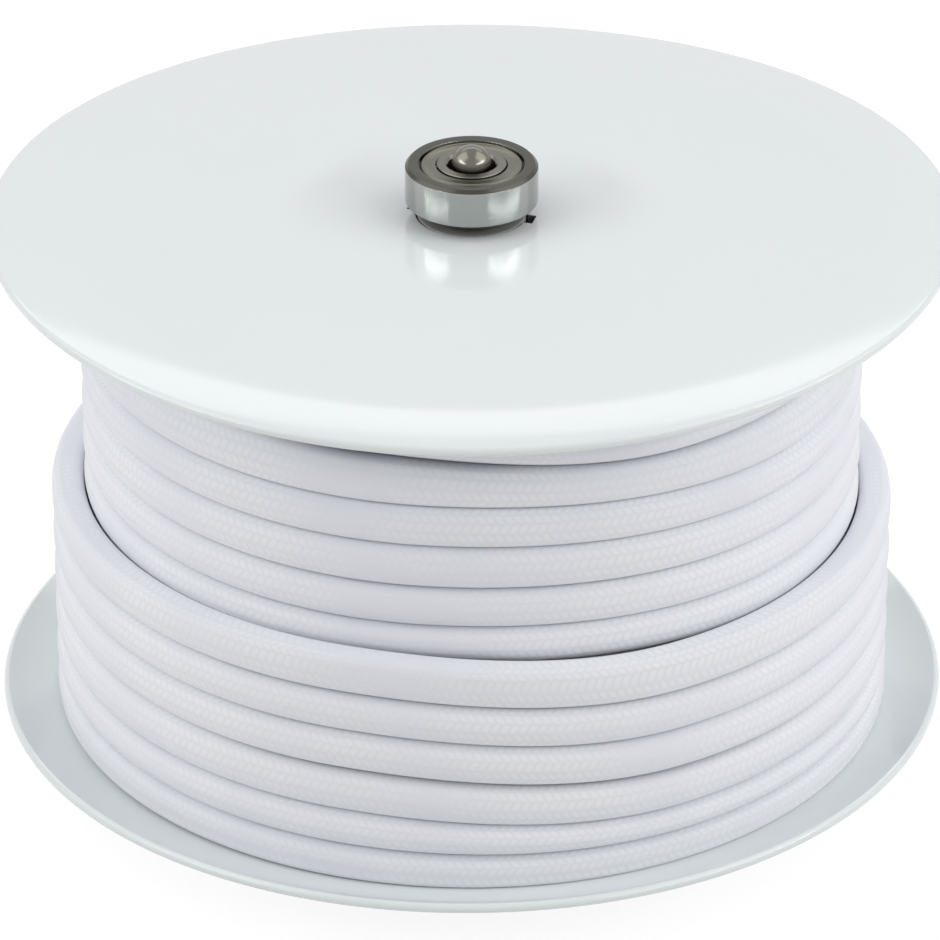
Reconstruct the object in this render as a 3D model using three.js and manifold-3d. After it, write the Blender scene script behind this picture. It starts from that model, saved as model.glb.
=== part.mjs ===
// A reel of thick braided cord: two thin flanges on a hollow core, with an axle that carries a
// ball bearing at each end. Millimetres, +Z up. The origin is the middle of the lower bearing's
// outer face, which the reel stands on.
import * as THREE from 'three';
import * as BufferGeometryUtils from 'three/addons/utils/BufferGeometryUtils.js';
import Module from 'manifold-3d';

// Reel body
const FLANGE_RADIUS = 80;
const FLANGE_THICKNESS = 1.7;
const INNER_WIDTH = 86.3; // between the flat inner faces of the flanges
const LOWER_RIM_TURN = 3.5; // how far each rim is turned towards the cord
const UPPER_RIM_TURN = 1.2;
const RIM_TURN_WIDTH = 14; // width of the curved band at a rim
const SLEEVE_RADIUS = 9; // hub sleeve that passes through the flange
const NOTCH_WIDTH = 3;
const NOTCH_DEPTH = 1.4; // past the flange's bore
const NOTCH_ANGLE = THREE.MathUtils.degToRad(-15);
const CORE_RADIUS = 50;
const CORE_WALL = 2;
const HUB_WALL = 3;
const SLEEVE_LENGTH = 16; // inside the reel
const COLLAR_LENGTH = 14;
const WEB_INSET = 7; // from the flange's inner face to the hub's web
const WEB_THICKNESS = 2.5;
const WINDOW_COUNT = 6; // round windows in the hub's web

// Ball bearings, 8 x 22 x 7 mm
const BORE_RADIUS = 4;
const RING_RADIUS = 11;
const BEARING_WIDTH = 7;
const STAND_OFF = 2.05; // from a flange to its bearing
const PITCH_RADIUS = 7.5;
const BALL_COUNT = 7;
const INNER_LAND = 1.75; // from the ball circle in to the inner ring's shoulder
const OUTER_LAND = 0.8; // from the ball circle out to the outer ring's shoulder
const SHIELD_SEAT = 0.45; // depth of the shield's seat in the outer ring's shoulder
const SHIELD_INSET = 0.3; // from a ring's face to its shield
const SHIELD_THICKNESS = 0.3;
const CAGE_FLOOR = 0.4; // under a ball's pocket
const CAGE_TO_SHIELD = 0.25;
const RING_CHAMFER = 0.35; // at the bore
const OUTER_CHAMFER = 0.55;

// Axle
const TIP_STEP = 0.6; // from the shaft in to the domed pin at each end
const PIN_LENGTH = 2.5; // under the dome
const DOME_HEIGHT = 2.2;
const TIP_RISE = 3; // upper tip above the upper bearing
const TIP_SINK = 0.3; // lower tip inside the lower bearing

// Cord
const CORD_WIDTH = 6.1; // along the reel
const CORD_THICKNESS = 5.4;
const TURN_GAP = 0.95;
const UNDERLAY_DEPTH = 8.8; // the deeper layers, from the core tube out
const LAYER_GAP = 0.1;
const STEP_RISE = 3.75; // from the top turn of the outer layer to the turn inside it
const OUTER_TURNS = 6;
const FRONT_DRIFT = 2.2; // how far each turn comes down across the front
const RING_STEPS = 24;

// Clearances and facets
const FIT = 0.2; // between pieces that are pressed or glued together
const SLIDE = 0.265; // round a ball
const SAG = 0.9; // room under a turn, whose steps are straight
const CORD_TO_FLANGE = 0.3;
const DISC_FACETS = 48;
const HUB_FACETS = 36;
const BEARING_FACETS = 32;

// Heights along the axis
const flangeBottom = BEARING_WIDTH + STAND_OFF;
const innerBottom = flangeBottom + FLANGE_THICKNESS;
const innerTop = innerBottom + INNER_WIDTH;
const flangeTop = innerTop + FLANGE_THICKNESS;
const upperBearing = flangeTop + STAND_OFF;
const overallTop = upperBearing + BEARING_WIDTH;

const flangeBore = SLEEVE_RADIUS + 0.3;
const journalRadius = BORE_RADIUS - FIT;
const tipRadius = journalRadius - TIP_STEP;

const wasm = await Module();
wasm.setup();

const plastic = new THREE.MeshStandardMaterial({
  name: 'gloss_white_plastic', color: 0xe6e9ea, roughness: 0.15,
});
const hubPlastic = new THREE.MeshStandardMaterial({
  name: 'grey_plastic', color: 0x9a9d9a, roughness: 0.5,
});
const cardboard = new THREE.MeshStandardMaterial({
  name: 'core_board', color: 0xb9b3a6, roughness: 0.85,
});
const ringSteel = new THREE.MeshStandardMaterial({
  name: 'bearing_steel', color: 0xb4b6b4, roughness: 0.18, metalness: 1,
});
const shieldSteel = new THREE.MeshStandardMaterial({
  name: 'shield_steel', color: 0x6f6e60, roughness: 0.35, metalness: 1,
});
const axleSteel = new THREE.MeshStandardMaterial({
  name: 'axle_steel', color: 0x8f8b82, roughness: 0.22, metalness: 1,
});
const cageNylon = new THREE.MeshStandardMaterial({
  name: 'cage_nylon', color: 0xcfc9b8, roughness: 0.6,
});
const cordFabric = new THREE.MeshStandardMaterial({
  name: 'white_cord', color: 0xeceef2, roughness: 0.8,
});

// --- helpers ---------------------------------------------------------------------------------

/** Turns a profile of [radius, height] pairs, counter-clockwise, about the Z axis. */
function revolve(profile, facets) {
  const closed = profile[0][0] > 0;
  const points = profile.map(([radius, height]) => new THREE.Vector2(radius, height));
  if (closed) points.push(points[0].clone());
  return new THREE.LatheGeometry(points, facets).rotateX(Math.PI / 2);
}

/** Points on an arc in a profile, from one angle to another. */
function arc(centreRadius, centreHeight, radius, from, to, steps) {
  return Array.from({ length: steps + 1 }, (_, i) => {
    const angle = from + ((to - from) * i) / steps;
    return [centreRadius + radius * Math.cos(angle), centreHeight + radius * Math.sin(angle)];
  });
}

function toSolid(geometry) {
  const bare = geometry.clone();
  bare.deleteAttribute('normal');
  bare.deleteAttribute('uv');
  const merged = BufferGeometryUtils.mergeVertices(bare, 1e-4);
  return new wasm.Manifold(new wasm.Mesh({
    numProp: 3,
    vertProperties: merged.attributes.position.array,
    triVerts: new Uint32Array(merged.index.array),
  }));
}

function fromSolid(solid) {
  const mesh = solid.getMesh();
  const geometry = new THREE.BufferGeometry();
  geometry.setAttribute('position', new THREE.BufferAttribute(mesh.vertProperties, 3));
  geometry.setIndex(new THREE.BufferAttribute(mesh.triVerts, 1));
  geometry.computeVertexNormals();
  return geometry;
}

function cutFrom(geometry, cutters) {
  return fromSolid(cutters.reduce((solid, cutter) => solid.subtract(toSolid(cutter)), toSolid(geometry)));
}

function addMesh(parent, name, geometry, material) {
  const mesh = new THREE.Mesh(geometry, material);
  mesh.name = name;
  parent.add(mesh);
  return mesh;
}

// --- reel body -------------------------------------------------------------------------------

const bendStart = FLANGE_RADIUS - RIM_TURN_WIDTH;

/** How far a flange whose rim is turned in by rimTurn has risen towards the cord at a radius. */
function rimLift(radius, rimTurn) {
  return rimTurn * (Math.max(0, radius - bendStart) / RIM_TURN_WIDTH) ** 2;
}

/** A flange with its outer face at height 0 and its inner face up; the notches lie along X. */
function flangeGeometry(rimTurn) {
  const lift = (radius) => rimLift(radius, rimTurn);
  const edge = FLANGE_THICKNESS / 2;
  const edgeCentre = FLANGE_RADIUS - edge;
  const bend = Array.from({ length: 4 }, (_, i) => bendStart + ((edgeCentre - bendStart) * (i + 1)) / 4);
  const outerFace = bend.slice(0, -1).map((radius) => [radius, lift(radius)]);
  const innerFace = outerFace.map(([radius, height]) => [radius, height + FLANGE_THICKNESS]).reverse();
  const rim = arc(edgeCentre, lift(edgeCentre) + edge, edge, -Math.PI / 2, Math.PI / 2, 4);
  const disc = revolve([
    [flangeBore, 0],
    [bendStart, 0],
    ...outerFace,
    ...rim,
    ...innerFace,
    [bendStart, FLANGE_THICKNESS],
    [flangeBore, FLANGE_THICKNESS],
  ], DISC_FACETS);
  const notchLength = 2 * (flangeBore + NOTCH_DEPTH);
  const notches = new THREE.BoxGeometry(notchLength, NOTCH_WIDTH, 3 * FLANGE_THICKNESS);
  return cutFrom(disc, [notches]);
}

/** A hub with the flange's inner face at height 0: sleeve, web with round windows, and collar. */
function hubGeometry() {
  const collarRadius = CORE_RADIUS - CORE_WALL - FIT;
  const collarInside = collarRadius - HUB_WALL;
  const webTop = WEB_INSET + WEB_THICKNESS;
  const body = revolve([
    [BORE_RADIUS, -FLANGE_THICKNESS],
    [SLEEVE_RADIUS, -FLANGE_THICKNESS],
    [SLEEVE_RADIUS, WEB_INSET],
    [collarInside, WEB_INSET],
    [collarInside, FIT],
    [collarRadius, FIT],
    [collarRadius, COLLAR_LENGTH],
    [collarInside, COLLAR_LENGTH],
    [collarInside, webTop],
    [SLEEVE_RADIUS, webTop],
    [SLEEVE_RADIUS, SLEEVE_LENGTH],
    [BORE_RADIUS, SLEEVE_LENGTH],
  ], HUB_FACETS);
  const windowCircle = (SLEEVE_RADIUS + collarInside) / 2;
  const windowRadius = (collarInside - SLEEVE_RADIUS) / 4;
  const windows = Array.from({ length: WINDOW_COUNT }, (_, i) => {
    const angle = (2 * Math.PI * i) / WINDOW_COUNT;
    const x = windowCircle * Math.cos(angle);
    const y = windowCircle * Math.sin(angle);
    return new THREE.CylinderGeometry(windowRadius, windowRadius, 3 * WEB_THICKNESS, 12)
      .rotateX(Math.PI / 2)
      .translate(x, y, webTop - WEB_THICKNESS / 2);
  });
  return cutFrom(body, windows);
}

function coreTubeGeometry() {
  return revolve([
    [CORE_RADIUS - CORE_WALL, innerBottom + FIT],
    [CORE_RADIUS, innerBottom + FIT],
    [CORE_RADIUS, innerTop - FIT],
    [CORE_RADIUS - CORE_WALL, innerTop - FIT],
  ], DISC_FACETS);
}

/** The axle's tips are domed pins inside the bearings' bores. */
function axleGeometry() {
  const lowerTip = TIP_SINK;
  const upperTip = overallTop + TIP_RISE;
  const lowerStep = lowerTip + DOME_HEIGHT + PIN_LENGTH;
  const upperStep = upperTip - DOME_HEIGHT - PIN_LENGTH;
  const domeRadius = (tipRadius ** 2 + DOME_HEIGHT ** 2) / (2 * DOME_HEIGHT);
  const domeAngle = Math.asin(tipRadius / domeRadius);
  const upright = Math.PI / 2;
  const lowerDome = arc(0, lowerTip + domeRadius, domeRadius, -upright, -upright + domeAngle, 3);
  const upperDome = arc(0, upperTip - domeRadius, domeRadius, upright - domeAngle, upright, 3);
  lowerDome[0][0] = 0;
  upperDome[upperDome.length - 1][0] = 0;
  return revolve([
    ...lowerDome,
    [tipRadius, lowerStep],
    [journalRadius - RING_CHAMFER, lowerStep],
    [journalRadius, lowerStep + RING_CHAMFER],
    [journalRadius, upperStep - RING_CHAMFER],
    [journalRadius - RING_CHAMFER, upperStep],
    [tipRadius, upperStep],
    ...upperDome,
  ], BEARING_FACETS);
}

/** The washer that holds a bearing's inner ring off the hub's sleeve, from height 0 up. */
function spacerGeometry() {
  const outside = PITCH_RADIUS - INNER_LAND - FIT;
  return revolve([
    [BORE_RADIUS, FIT / 2],
    [outside, FIT / 2],
    [outside, STAND_OFF - FIT / 2],
    [BORE_RADIUS, STAND_OFF - FIT / 2],
  ], BEARING_FACETS);
}

// --- ball bearing, from height 0 to BEARING_WIDTH ---------------------------------------------

const midHeight = BEARING_WIDTH / 2;
const cageBase = SHIELD_INSET + SHIELD_THICKNESS + CAGE_TO_SHIELD;
const raceRadius = midHeight - cageBase - CAGE_FLOOR;
const ballRadius = raceRadius - SLIDE;
const shieldSeatRadius = PITCH_RADIUS + OUTER_LAND + SHIELD_SEAT;
const shieldSeatDepth = SHIELD_INSET + SHIELD_THICKNESS + 0.4;

function outerRingGeometry() {
  const land = PITCH_RADIUS + OUTER_LAND;
  const half = Math.acos(OUTER_LAND / raceRadius);
  return revolve([
    [shieldSeatRadius, 0],
    [RING_RADIUS - OUTER_CHAMFER, 0],
    [RING_RADIUS, OUTER_CHAMFER],
    [RING_RADIUS, BEARING_WIDTH - OUTER_CHAMFER],
    [RING_RADIUS - OUTER_CHAMFER, BEARING_WIDTH],
    [shieldSeatRadius, BEARING_WIDTH],
    [shieldSeatRadius, BEARING_WIDTH - shieldSeatDepth],
    [land, BEARING_WIDTH - shieldSeatDepth],
    ...arc(PITCH_RADIUS, midHeight, raceRadius, half, -half, 5),
    [land, shieldSeatDepth],
    [shieldSeatRadius, shieldSeatDepth],
  ], BEARING_FACETS);
}

function innerRingGeometry() {
  const land = PITCH_RADIUS - INNER_LAND;
  const half = Math.acos(INNER_LAND / raceRadius);
  return revolve([
    [BORE_RADIUS + RING_CHAMFER, 0],
    [land, 0],
    ...arc(PITCH_RADIUS, midHeight, raceRadius, Math.PI + half, Math.PI - half, 4),
    [land, BEARING_WIDTH],
    [BORE_RADIUS + RING_CHAMFER, BEARING_WIDTH],
    [BORE_RADIUS, BEARING_WIDTH - RING_CHAMFER],
    [BORE_RADIUS, RING_CHAMFER],
  ], BEARING_FACETS);
}

/** A crown cage: a thin base ring whose arms hold the balls apart. */
function cageGeometry() {
  const inside = PITCH_RADIUS - INNER_LAND / 2;
  const outside = PITCH_RADIUS + OUTER_LAND / 2;
  const armTop = midHeight + 0.4 * ballRadius;
  const blank = revolve([
    [inside, cageBase],
    [outside, cageBase],
    [outside, armTop],
    [inside, armTop],
  ], BEARING_FACETS);
  const pockets = ballPlaces().map(({ x, y }) => (
    new THREE.SphereGeometry(raceRadius, 10, 6).rotateX(Math.PI / 2).translate(x, y, midHeight)
  ));
  return cutFrom(blank, pockets);
}

function ballPlaces() {
  return Array.from({ length: BALL_COUNT }, (_, i) => {
    const angle = (2 * Math.PI * i) / BALL_COUNT;
    return { x: PITCH_RADIUS * Math.cos(angle), y: PITCH_RADIUS * Math.sin(angle) };
  });
}

/** A pressed shield with a raised lip, facing up, its ring's face at height 0. */
function shieldGeometry() {
  const inside = PITCH_RADIUS - INNER_LAND + 0.3;
  const outside = shieldSeatRadius - FIT;
  const top = -SHIELD_INSET;
  const lip = SHIELD_INSET - 0.1;
  const bottom = top - SHIELD_THICKNESS;
  const lipInside = outside - 1.1;
  const lipMiddle = outside - 0.6;
  return revolve([
    [inside, bottom],
    [lipInside, bottom],
    [lipMiddle, bottom + lip],
    [outside - SHIELD_THICKNESS, bottom - 0.2],
    [outside, bottom - 0.2],
    [lipMiddle, top + lip],
    [lipInside, top],
    [inside, top],
  ], BEARING_FACETS);
}

function bearing(end, height) {
  const group = new THREE.Group();
  group.position.z = height;
  addMesh(group, `${end}_outer_ring`, outerRingGeometry(), ringSteel);
  addMesh(group, `${end}_inner_ring`, innerRingGeometry(), ringSteel);
  addMesh(group, `${end}_cage`, cageGeometry(), cageNylon);
  ballPlaces().forEach(({ x, y }, i) => {
    const ball = new THREE.SphereGeometry(ballRadius, 10, 6).rotateX(Math.PI / 2);
    addMesh(group, `${end}_ball_${i + 1}`, ball, ringSteel).position.set(x, y, midHeight);
  });
  addMesh(group, `${end}_shield_above`, shieldGeometry(), shieldSteel).position.z = BEARING_WIDTH;
  addMesh(group, `${end}_shield_below`, shieldGeometry(), shieldSteel).rotation.x = Math.PI;
  return group;
}

// --- cord --------------------------------------------------------------------------------------

const turnSpacing = CORD_WIDTH + TURN_GAP;
const underlayRadius = CORE_RADIUS + UNDERLAY_DEPTH;
const innerLayerRadius = underlayRadius + SAG + CORD_THICKNESS / 2;
const layerRise = CORD_THICKNESS + LAYER_GAP;
const outerLayerRadius = innerLayerRadius + layerRise;
const lowerRimAtCord = rimLift(outerLayerRadius, LOWER_RIM_TURN);
const upperRimAtCord = rimLift(innerLayerRadius, UPPER_RIM_TURN);
const lowestTurn = innerBottom + lowerRimAtCord + CORD_TO_FLANGE + CORD_WIDTH / 2;
const topOuterTurn = lowestTurn + (OUTER_TURNS - 1) * turnSpacing;
const highestTurn = innerTop - upperRimAtCord - CORD_TO_FLANGE - CORD_WIDTH / 2;
const roomAbove = highestTurn - topOuterTurn - STEP_RISE;
const innerTurns = Math.floor(roomAbove / turnSpacing) + 1;
const turnCount = innerTurns + OUTER_TURNS;

/** The last pass of cord comes down the reel and steps out where one more layer lies under it. */
function turnHeight(turn) {
  if (turn >= innerTurns) return lowestTurn + (turnCount - 1 - turn) * turnSpacing;
  return topOuterTurn + STEP_RISE + (innerTurns - 1 - turn) * turnSpacing;
}

function turnRadius(turn) {
  return turn >= innerTurns ? outerLayerRadius : innerLayerRadius;
}

/** How far a turn drifts down across the front; the turns near the lower flange lie level. */
function frontDrift(turn) {
  return FRONT_DRIFT * Math.min(1, (turnCount - 1 - turn) / (OUTER_TURNS - 1));
}

// Each turn runs level, drifts down across the front, runs level and crosses to the next turn
// at the back. Angles are measured in turns from the back left of the reel.
const TURN_START = THREE.MathUtils.degToRad(160);
const FRONT = [95 / 360, 145 / 360];
const BACK = [260 / 360, 1];

function cordPoint(angle) {
  const turn = Math.min(Math.floor(angle), turnCount - 1);
  const share = angle - turn;
  const down = frontDrift(turn) * THREE.MathUtils.smoothstep(share, ...FRONT);
  const across = turn < turnCount - 1 ? THREE.MathUtils.smoothstep(share, ...BACK) : 0;
  const next = Math.min(turn + 1, turnCount - 1);
  const height = THREE.MathUtils.lerp(turnHeight(turn) - down, turnHeight(next), across);
  const radius = THREE.MathUtils.lerp(turnRadius(turn), turnRadius(next), across);
  return { azimuth: TURN_START + 2 * Math.PI * angle, radius, height };
}

/** Six corners of the cord's section, in the plane through the axis. */
const SECTION = [[1, 0.5], [0, 1], [-1, 0.5], [-1, -0.5], [0, -1], [1, -0.5]];

function sectionRing({ azimuth, radius, height }, shift) {
  const along = new THREE.Vector3(-Math.sin(azimuth), Math.cos(azimuth), 0);
  return SECTION.map(([out, up]) => {
    const reach = radius + (out * CORD_THICKNESS) / 2;
    return new THREE.Vector3(
      reach * Math.cos(azimuth),
      reach * Math.sin(azimuth),
      height + (up * CORD_WIDTH) / 2,
    ).addScaledVector(along, shift);
  });
}

/** The last pass as one unbroken tube, with a straight end one cord's width long at each end. */
function windingGeometry() {
  const lastStep = Math.round((turnCount - 1 + BACK[0]) * RING_STEPS);
  const places = Array.from({ length: lastStep + 1 }, (_, i) => cordPoint(i / RING_STEPS));
  const rings = [
    sectionRing(places[0], -CORD_WIDTH),
    ...places.map((place) => sectionRing(place, 0)),
    sectionRing(places[lastStep], CORD_WIDTH),
  ];
  printLeastGap(rings.slice(1, -1));

  const sides = SECTION.length;
  const index = [];
  for (let ring = 0; ring < rings.length - 1; ring += 1) {
    for (let side = 0; side < sides; side += 1) {
      const a = ring * sides + side;
      const b = ring * sides + ((side + 1) % sides);
      index.push(a, a + sides, b, b, a + sides, b + sides);
    }
  }
  const last = (rings.length - 1) * sides;
  for (let side = 1; side < sides - 1; side += 1) {
    index.push(0, side, side + 1);
    index.push(last, last + side + 1, last + side);
  }
  const geometry = new THREE.BufferGeometry().setFromPoints(rings.flat());
  geometry.setIndex(index);
  geometry.computeVertexNormals();
  return geometry;
}

/** Prints the least distance between points round one turn and points round the next. */
function printLeastGap(rings) {
  const points = rings.map((ring) => ring.flatMap((corner, i) => {
    const next = ring[(i + 1) % ring.length];
    return [corner, corner.clone().lerp(next, 1 / 3), corner.clone().lerp(next, 2 / 3)];
  }));
  let least = Infinity;
  for (let i = 0; i + RING_STEPS < points.length; i += 1) {
    for (const point of points[i]) {
      for (const other of points[i + RING_STEPS]) least = Math.min(least, point.distanceTo(other));
    }
  }
  console.log(`least gap between turns of cord: ${least.toFixed(2)} mm`);
}

/** The layers under the last pass: one more of them in the lower part of the reel. */
function underlayGeometry() {
  const inside = CORE_RADIUS + FIT;
  const outside = underlayRadius + layerRise;
  const bottom = innerBottom + rimLift(outside, LOWER_RIM_TURN) + CORD_TO_FLANGE;
  const top = innerTop - rimLift(underlayRadius, UPPER_RIM_TURN) - CORD_TO_FLANGE;
  const step = topOuterTurn - FRONT_DRIFT - 0.1 * CORD_WIDTH;
  return revolve([
    [inside, bottom],
    [outside, bottom],
    [outside, step],
    [underlayRadius, step],
    [underlayRadius, top],
    [inside, top],
  ], DISC_FACETS);
}

// --- assembly ----------------------------------------------------------------------------------

/** Places a piece of one end: the lower one as it is made, the upper one turned over. */
function placeAtEnd(mesh, height, isUpper) {
  mesh.position.z = height;
  if (isUpper) mesh.rotation.x = Math.PI;
  return mesh;
}

const reel = new THREE.Group();
const notchTurn = new THREE.Group();
notchTurn.rotation.z = NOTCH_ANGLE;
reel.add(notchTurn);
const lowerFlange = addMesh(notchTurn, 'bottom_flange', flangeGeometry(LOWER_RIM_TURN), plastic);
placeAtEnd(lowerFlange, flangeBottom, false);
const upperFlange = addMesh(notchTurn, 'top_flange', flangeGeometry(UPPER_RIM_TURN), plastic);
placeAtEnd(upperFlange, flangeTop, true);
placeAtEnd(addMesh(reel, 'bottom_hub', hubGeometry(), hubPlastic), innerBottom, false);
placeAtEnd(addMesh(reel, 'top_hub', hubGeometry(), hubPlastic), innerTop, true);
addMesh(reel, 'core_tube', coreTubeGeometry(), cardboard);
addMesh(reel, 'axle', axleGeometry(), axleSteel);
addMesh(reel, 'bottom_spacer', spacerGeometry(), axleSteel).position.z = BEARING_WIDTH;
addMesh(reel, 'top_spacer', spacerGeometry(), axleSteel).position.z = flangeTop;
reel.add(bearing('bottom', 0));
reel.add(bearing('top', upperBearing));
addMesh(reel, 'cord_underlay', underlayGeometry(), cordFabric);
addMesh(reel, 'cord_winding', windingGeometry(), cordFabric);

export default reel;
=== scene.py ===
import math

import bmesh
import bpy
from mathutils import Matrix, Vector

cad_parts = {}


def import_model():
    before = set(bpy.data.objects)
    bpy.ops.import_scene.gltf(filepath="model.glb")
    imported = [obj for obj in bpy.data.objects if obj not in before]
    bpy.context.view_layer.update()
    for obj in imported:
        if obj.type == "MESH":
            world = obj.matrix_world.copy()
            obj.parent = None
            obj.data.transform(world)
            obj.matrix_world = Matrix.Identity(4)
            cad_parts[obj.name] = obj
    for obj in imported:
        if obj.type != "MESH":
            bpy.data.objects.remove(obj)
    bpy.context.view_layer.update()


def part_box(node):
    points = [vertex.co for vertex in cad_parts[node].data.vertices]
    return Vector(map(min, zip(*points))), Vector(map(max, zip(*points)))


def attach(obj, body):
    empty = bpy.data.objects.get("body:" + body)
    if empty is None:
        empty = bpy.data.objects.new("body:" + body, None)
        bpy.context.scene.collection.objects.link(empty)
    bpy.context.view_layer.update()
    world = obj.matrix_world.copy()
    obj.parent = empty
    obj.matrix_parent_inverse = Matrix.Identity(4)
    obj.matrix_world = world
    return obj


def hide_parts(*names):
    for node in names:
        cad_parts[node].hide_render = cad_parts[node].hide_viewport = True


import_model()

MM = 0.001


def span(node):
    """Lowest and highest height of a CAD node."""
    low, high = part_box(node)
    return low.z / MM, high.z / MM


# --- sizes, from the frame where it holds them ---------------------------------------------------

FLANGE_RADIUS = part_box("top_flange")[1].x / MM
FLANGE_THICKNESS = 1.7
LOWER_RIM_TURN = 3.5  # how far the lower flange's rim turns up, towards the cord
UPPER_RIM_TURN = 1.2  # how far the upper flange's rim turns down, towards the cord
RIM_TURN_WIDTH = 14.0
FLANGE_BORE = 9.3
NOTCH_WIDTH = 3.0
NOTCH_DEPTH = 1.4
NOTCH_ANGLE = math.radians(-15)
FLANGE_BOTTOM = span("bottom_flange")[0]
FLANGE_TOP = span("top_flange")[1]
INNER_BOTTOM = FLANGE_BOTTOM + FLANGE_THICKNESS
INNER_TOP = FLANGE_TOP - FLANGE_THICKNESS

CORE_RADIUS = 50.0
CORE_WALL = 2.0
HUB_WALL = 3.0
SLEEVE_RADIUS = 9.0
SLEEVE_LENGTH = 16.0
COLLAR_LENGTH = 14.0
WEB_INSET = 7.0
WEB_THICKNESS = 2.5
WINDOW_COUNT = 6

BORE_RADIUS = 4.0
RING_RADIUS = 11.0
BEARING_WIDTH = 7.0
PITCH_RADIUS = 7.5
BALL_RADIUS = 1.985
BALL_COUNT = 7
INNER_LAND_RADIUS = 5.75
OUTER_LAND_RADIUS = 8.3
SHIELD_SEAT_RADIUS = 8.75
SHIELD_INSET = 0.3
SHIELD_THICKNESS = 0.3
SHIELD_GAP = 0.18  # between a shield and the inner ring
SHIELD_SEAT_MARGIN = 0.4  # depth of the seat behind the shield
LIP_INSET = 0.6  # from the shield's outside to the middle of its lip
LIP_FOOT = 1.15  # from the shield's outside to where its lip starts
RING_CHAMFER = 0.35
OUTER_CHAMFER = 0.55
LAND_CHAMFER = 0.1
RACE_CLEARANCE = 0.265
CAGE_FLOOR = 0.4  # cage under the balls' pockets
CAGE_RISE = 0.4  # how far the cage reaches past the balls' middle, in ball radii
TIP_RADIUS = 3.2
DOME_HEIGHT = 2.2
PIN_LENGTH = 2.5
FIT = 0.2

SMOOTH = 192  # facets round a large disc
FINE = 96  # facets round a small one
MOULDED_EASE = 0.3  # rounding of moulded and cut edges
GROUND_EASE = 0.12  # rounding of ground edges
CAGE_EASE = 0.15
SHARP = math.radians(35)  # edges that turn more than this look sharp
BLUNT = math.radians(150)  # corners more open than this aren't rounded
LONGEST_EASE = 0.4  # the most of an edge that its rounding takes
MERGE_DISTANCE = 1e-7  # in metres
WALL_NORMAL = 0.3  # an upright wall's normal rises less than this
FACE_NORMAL = 0.5  # a flat face's normal rises more than this

# --- cord ----------------------------------------------------------------------------------------

INNER_LAYER_RADIUS = 62.4
OUTER_LAYER_RADIUS = 67.9
CORD_HALF_THICKNESS = 2.8
INNER_TURNS = 6
# Where each turn ends below, on the left of the photograph, from the top turn down. The last pass
# steps out after the sixth turn.
LOWER_EDGE = [86.4, 77.6, 70.5, 63.1, 56.1, 49.6, 45.4, 38.4, 31.3, 23.4, 17.0, 10.9]
TOP_EDGE = 93.6  # upper edge of the first turn
STEP_TOP_EDGE = 52.8  # upper edge of the first turn of the outer layer
# How far each lower edge comes down across the front.
FRONT_DRIFT = [3.2, 3.2, 2.5, 2.2, 2.4, 2.5, 2.9, 3.0, 3.1, 2.5, 0.6, 0.0]
TOP_DRIFT = 3.0
STEP_DRIFT = 2.5
TURN_COUNT = len(LOWER_EDGE)
TURN_START = math.radians(160)
# Where along a turn, in shares of it, the cord drifts down across the front, and where it crosses
# to the next turn at the back.
FIRST_FRONT = (95 / 360, 142 / 360)
INNER_FRONT = (104 / 360, 174 / 360)
OUTER_FRONT = (92 / 360, 139 / 360)
BACK = (260 / 360, 1.0)
SECTION_POINTS = 40
RINGS_PER_TURN = 200
SQUARENESS = 2.15  # 2 is an ellipse
FOOT_SQUARENESS = 3.6  # of the last turn's lower half, which lies on the flange
STEP_SQUARENESS = 3.4  # of the upper half of the turn at the step, pressed against the turn inside
# Where these two forms start and are full, and where the second ends, in turns from the top.
FOOT_STRETCH = (TURN_COUNT - 1.4, TURN_COUNT - 1.0)
STEP_STRETCH = (INNER_TURNS - 0.2, INNER_TURNS, INNER_TURNS + 0.7, INNER_TURNS + 0.95)
TURN_CLEARANCE = 0.04

CORD_END_LENGTH = 6.1  # straight length at either end, about one cord's width
CORD_END_STEPS = 8
SEAL_LENGTH = 0.5  # of the small dome where the cut cord is sealed
SEAL_ANGLES = (0.5, 0.9, 1.25, 1.45)

# How dark the painted shade in the groove under each turn is, from the top down, where 1 is the
# darkest. The first one is darker across the front, and the sixth lies at the step.
PAINTED_GROOVE_SHADES = [0.05, 0.0, 0.0, 0.05, 0.0, 1.0, 0.12, 0.06, 0.3, 0.0, 0.0, 0.05]
FIRST_FRONT_SHADE = 0.3
FIRST_MIDDLE_SHADE = 0.6
# Where along a turn, in shares of it, the grooves' painted shades start, are full, start to fade
# and end.
FRONT_WINDOW = (0.16, 0.27, 0.38, 0.50)
FIRST_WINDOW = (0.20, 0.26, 0.30, 0.34)
STEP_WINDOW = (0.19, 0.27, 0.30, 0.34)
# Where a groove's painted shade starts on the section, as a sine: a faint one's and the
# darkest one's.
GROOVE_START = (0.86, 0.5)
INSIDE_SHADE = (0.45, 0.95)  # where the painted shade on top of the pressed turn starts, and is full

RIB_PITCH = 6.9  # of the deeper layers' turns
RIB_DEPTH = 2.2
RIB_POWER = 2.6
RIB_STEPS = 8
UNDERLAY_STEP = 3.6  # how far under the sixth turn's lower edge the deeper layers step out
UNDERLAY_GAP = 0.05
UNDERLAY_MAP_RADIUS = 60.0  # at which the braid goes round the deeper layers

# --- braid ---------------------------------------------------------------------------------------

STITCH = 1.45  # length of a stitch along the cord
COLUMN = 1.42  # width of a column of stitches round it
SECTION_LENGTH = 20.0  # length round the cord's section
STITCH_SLANT = 0.55  # how far a stitch runs ahead across its column, in stitches
STITCH_FULLNESS = 0.6  # powers that fill out a stitch, along it and across it: 0 is a flat top
COLUMN_FULLNESS = 0.5
STRAND_STRETCH = 0.12  # scale of the strands' pattern along the cord, where 1 is that round it
STRAND_HEIGHT = 2.2  # of the strands, where 1 is the stitches'
LEAST_RELIEF = 0.12  # of the stitches where the braid is worn flat


# --- mesh helpers --------------------------------------------------------------------------------

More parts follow.
